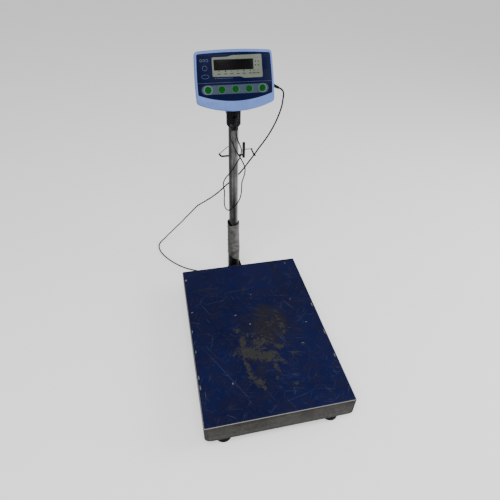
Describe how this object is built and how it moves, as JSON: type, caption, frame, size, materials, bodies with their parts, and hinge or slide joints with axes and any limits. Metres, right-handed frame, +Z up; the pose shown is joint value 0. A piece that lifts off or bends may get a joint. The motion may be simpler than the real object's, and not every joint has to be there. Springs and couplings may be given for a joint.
{
  "type": "platform shipping scale",
  "caption": "Floor platform scale with a lift-off steel pan on a load-cell frame, rear column, and a tilting swivelling indicator head with keys and hanging cords.",
  "frame": {"origin": "on the floor, under the middle of the box round the platform and column (cords left out)", "axes": "+Z up, +Y towards the column side, +X to the right of a person who reads the display"},
  "size_m": [0.5075, 0.9405, 0.8369],
  "materials": {
    "pan_steel": "satin stainless sheet, stained",
    "deck_blue": "dark blue coating, worn and scratched",
    "frame_paint": "dark gray paint",
    "black_rubber": "matte black rubber",
    "cell_aluminium": "machined aluminium",
    "zinc_steel": "zinc plated steel",
    "black_plastic": "black moulded plastic",
    "vial": "clear yellow-green vial",
    "bracket_paint": "black paint",
    "column_steel": "satin stainless tube",
    "sleeve_wrap": "gray wrap, dusty",
    "cord_black": "black flexible cable",
    "shell_blue": "periwinkle blue moulded plastic",
    "overlay_blue": "dark blue printed overlay",
    "window_dark": "dark tinted window",
    "board_black": "black",
    "board_green": "green circuit board",
    "key_green": "dark green rubber key",
    "pin_brass": "nickel plated brass"
  },
  "bodies": {
    "base": {"base_frame": "frame_paint", "frame_end_caps": "black_plastic", "overload_stops": "zinc_steel", "foot_lock_nuts": "zinc_steel", "level_ring": "cell_aluminium", "level_vial": "vial", "load_cell": "cell_aluminium", "load_cell_spacers": "zinc_steel", "load_cell_bolts": "zinc_steel", "spider_frame": "frame_paint", "spider_bumpers": "black_rubber", "column_bracket": "bracket_paint", "bracket_bolts": "zinc_steel", "column_tube": "column_steel", "column_set_screws": "zinc_steel", "column_sleeve": "sleeve_wrap", "hanger_clip": "bracket_paint", "hanger_screws": "zinc_steel", "hanger_rod": "bracket_paint", "cell_lead_inner": "cord_black", "base_grommet": "black_rubber", "power_cord_lower": "cord_black", "cord_coil": "cord_black", "coil_tie": "black_plastic", "mains_plug": "black_plastic", "plug_pins": "pin_brass"},
    "pan": {"platform_pan": "pan_steel", "deck_film": "deck_blue"},
    "foot_1_pad": {"foot_pad_1": "black_rubber"},
    "foot_1_stud": {"foot_stud_1": "zinc_steel"},
    "foot_2_pad": {"foot_pad_2": "black_rubber"},
    "foot_2_stud": {"foot_stud_2": "zinc_steel"},
    "foot_3_pad": {"foot_pad_3": "black_rubber"},
    "foot_3_stud": {"foot_stud_3": "zinc_steel"},
    "foot_4_pad": {"foot_pad_4": "black_rubber"},
    "foot_4_stud": {"foot_stud_4": "zinc_steel"},
    "head": {"head_fork": "black_plastic", "head_screw": "zinc_steel", "tilt_bolt": "zinc_steel", "cell_lead_loop": "cord_black", "power_cord_upper": "cord_black"},
    "indicator": {"indicator_bracket": "bracket_paint", "bracket_screws": "zinc_steel", "rear_shell": "black_plastic", "front_shell": "shell_blue", "shell_screws": "zinc_steel", "face_overlay": "overlay_blue", "display_window": "window_dark", "display_board": "board_black", "key_mat": "black_rubber", "main_board": "board_green", "battery": "board_black", "transformer": "zinc_steel", "power_gland": "black_rubber", "lead_gland": "black_rubber"},
    "key_1_cap": {"key_1": "key_green"},
    "key_2_cap": {"key_2": "key_green"},
    "key_3_cap": {"key_3": "key_green"},
    "key_4_cap": {"key_4": "key_green"},
    "key_5_cap": {"key_5": "key_green"}
  },
  "joints": [
    {"name": "pan_lift", "type": "slide", "parent": "base", "child": "pan", "axis": [0, 0, 1], "range_m": [0, 0.1]},
    {"name": "foot_1_height", "type": "slide", "parent": "base", "child": "foot_1_pad", "axis": [0, 0, 1], "range_m": [-0.012, 0.0045]},
    {"name": "foot_1_turn", "type": "hinge", "parent": "foot_1_pad", "child": "foot_1_stud", "pos_m": [-0.157, -0.332, 0], "axis": [0, 0, 1], "range_deg": [-2880, 1080]},
    {"name": "foot_2_height", "type": "slide", "parent": "base", "child": "foot_2_pad", "axis": [0, 0, 1], "range_m": [-0.012, 0.0045]},
    {"name": "foot_2_turn", "type": "hinge", "parent": "foot_2_pad", "child": "foot_2_stud", "pos_m": [0.157, -0.332, 0], "axis": [0, 0, 1], "range_deg": [-2880, 1080]},
    {"name": "foot_3_height", "type": "slide", "parent": "base", "child": "foot_3_pad", "axis": [0, 0, 1], "range_m": [-0.012, 0.0045]},
    {"name": "foot_3_turn", "type": "hinge", "parent": "foot_3_pad", "child": "foot_3_stud", "pos_m": [0.157, 0.212, 0], "axis": [0, 0, 1], "range_deg": [-2880, 1080]},
    {"name": "foot_4_height", "type": "slide", "parent": "base", "child": "foot_4_pad", "axis": [0, 0, 1], "range_m": [-0.012, 0.0045]},
    {"name": "foot_4_turn", "type": "hinge", "parent": "foot_4_pad", "child": "foot_4_stud", "pos_m": [-0.157, 0.212, 0], "axis": [0, 0, 1], "range_deg": [-2880, 1080]},
    {"name": "head_swivel", "type": "hinge", "parent": "base", "child": "head", "pos_m": [-0.008, 0.312, 0.63], "axis": [0, 0, 1], "range_deg": [-40, 40], "deforming": ["power_cord_lower"]},
    {"name": "indicator_tilt", "type": "hinge", "parent": "head", "child": "indicator", "pos_m": [-0.008, 0.326, 0.688], "axis": [1, 0, 0], "range_deg": [-25, 18], "deforming": ["power_cord_upper", "cell_lead_loop"]},
    {"name": "key_1_press", "type": "slide", "parent": "indicator", "child": "key_1_cap", "axis": [0, 0.9272, -0.3746], "range_m": [0, 0.0008], "stiffness_N_per_m": 2000, "springref_m": -0.0004},
    {"name": "key_2_press", "type": "slide", "parent": "indicator", "child": "key_2_cap", "axis": [0, 0.9272, -0.3746], "range_m": [0, 0.0008], "stiffness_N_per_m": 2000, "springref_m": -0.0004},
    {"name": "key_3_press", "type": "slide", "parent": "indicator", "child": "key_3_cap", "axis": [0, 0.9272, -0.3746], "range_m": [0, 0.0008], "stiffness_N_per_m": 2000, "springref_m": -0.0004},
    {"name": "key_4_press", "type": "slide", "parent": "indicator", "child": "key_4_cap", "axis": [0, 0.9272, -0.3746], "range_m": [0, 0.0008], "stiffness_N_per_m": 2000, "springref_m": -0.0004},
    {"name": "key_5_press", "type": "slide", "parent": "indicator", "child": "key_5_cap", "axis": [0, 0.9272, -0.3746], "range_m": [0, 0.0008], "stiffness_N_per_m": 2000, "springref_m": -0.0004}
  ],
  "couplings": [
    {"joint": "foot_1_turn", "follows": "foot_1_height", "rad_per_m": 4188.8},
    {"joint": "foot_2_turn", "follows": "foot_2_height", "rad_per_m": 4188.8},
    {"joint": "foot_3_turn", "follows": "foot_3_height", "rad_per_m": 4188.8},
    {"joint": "foot_4_turn", "follows": "foot_4_height", "rad_per_m": 4188.8}
  ]
}
